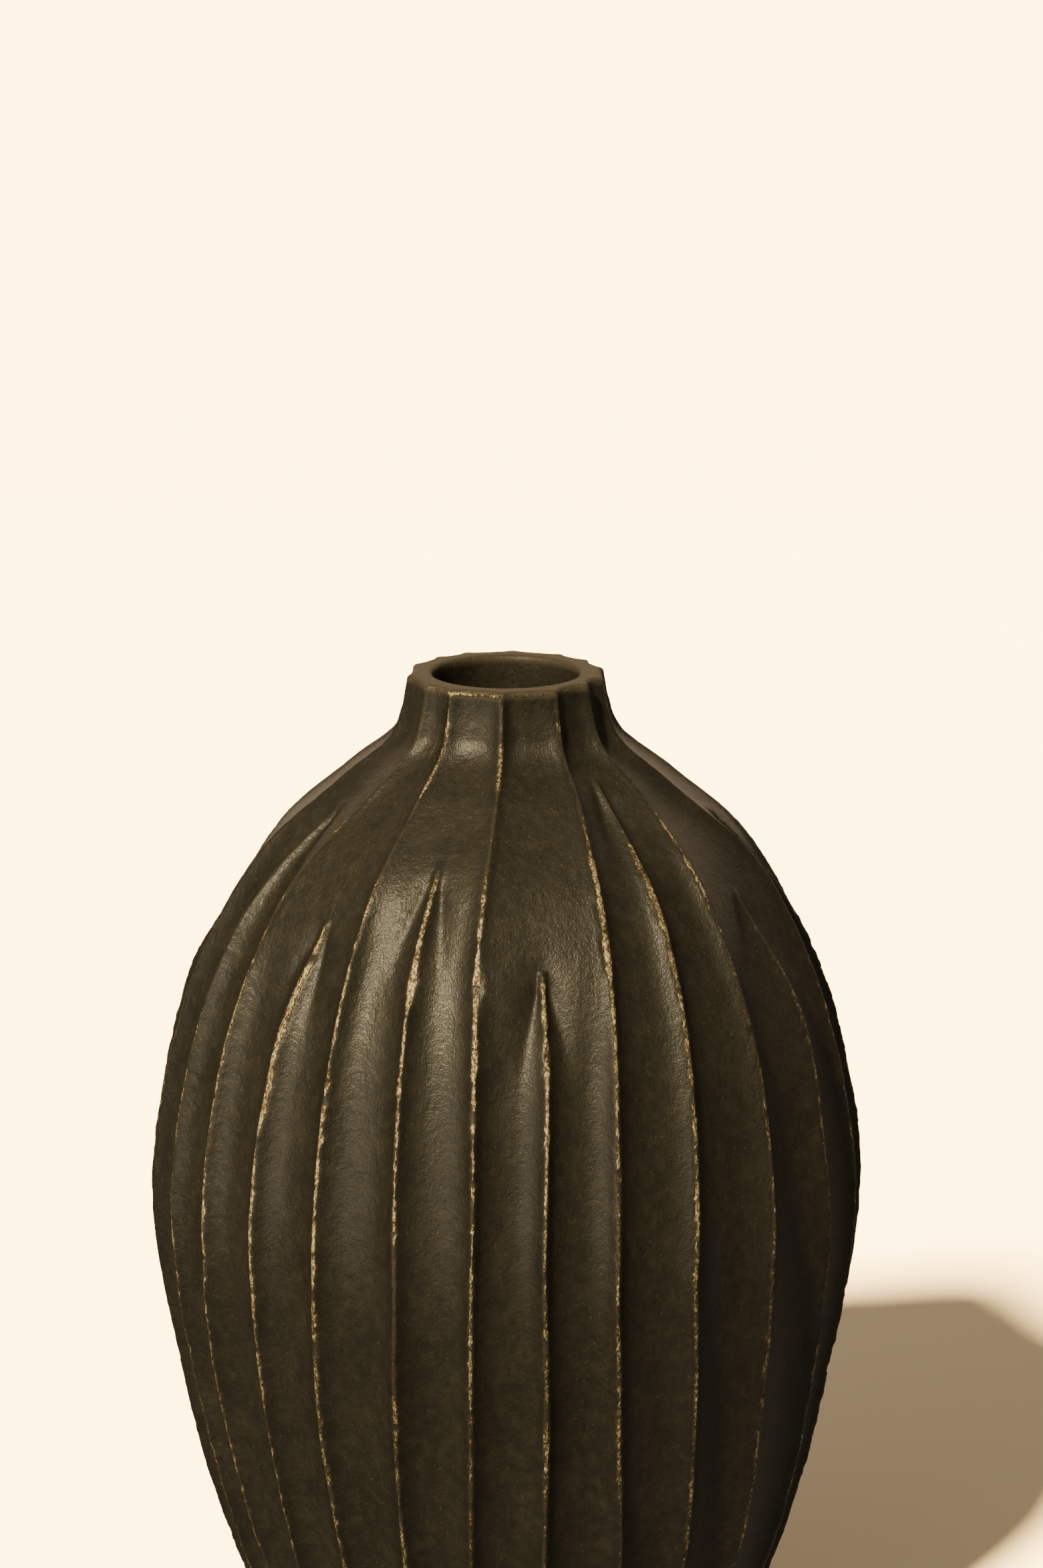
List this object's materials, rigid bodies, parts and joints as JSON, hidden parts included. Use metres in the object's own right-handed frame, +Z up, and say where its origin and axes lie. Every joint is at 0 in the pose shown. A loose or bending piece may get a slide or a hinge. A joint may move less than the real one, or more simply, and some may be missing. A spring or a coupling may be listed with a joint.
{
  "type": "ribbed clay pot",
  "caption": "Narrow-necked black clay jar with hand-carved vertical flutes and ridges, for a display or for dry stems.",
  "frame": {"origin": "middle of the foot, on the surface the pot stands on", "axes": "+Z up along the pot's axis; -Y is the side the picture shows"},
  "size_m": [0.1798, 0.1792, 0.28],
  "materials": {
    "black_clay": "reduction-fired black clay, hand-burnished flutes, bronze-worn ridge edges"
  },
  "bodies": {
    "root": {"floor_disc": "black_clay", "lower_wall": "black_clay", "belly_wall": "black_clay", "shoulder_wall": "black_clay", "neck_collar": "black_clay"}
  },
  "joints": []
}
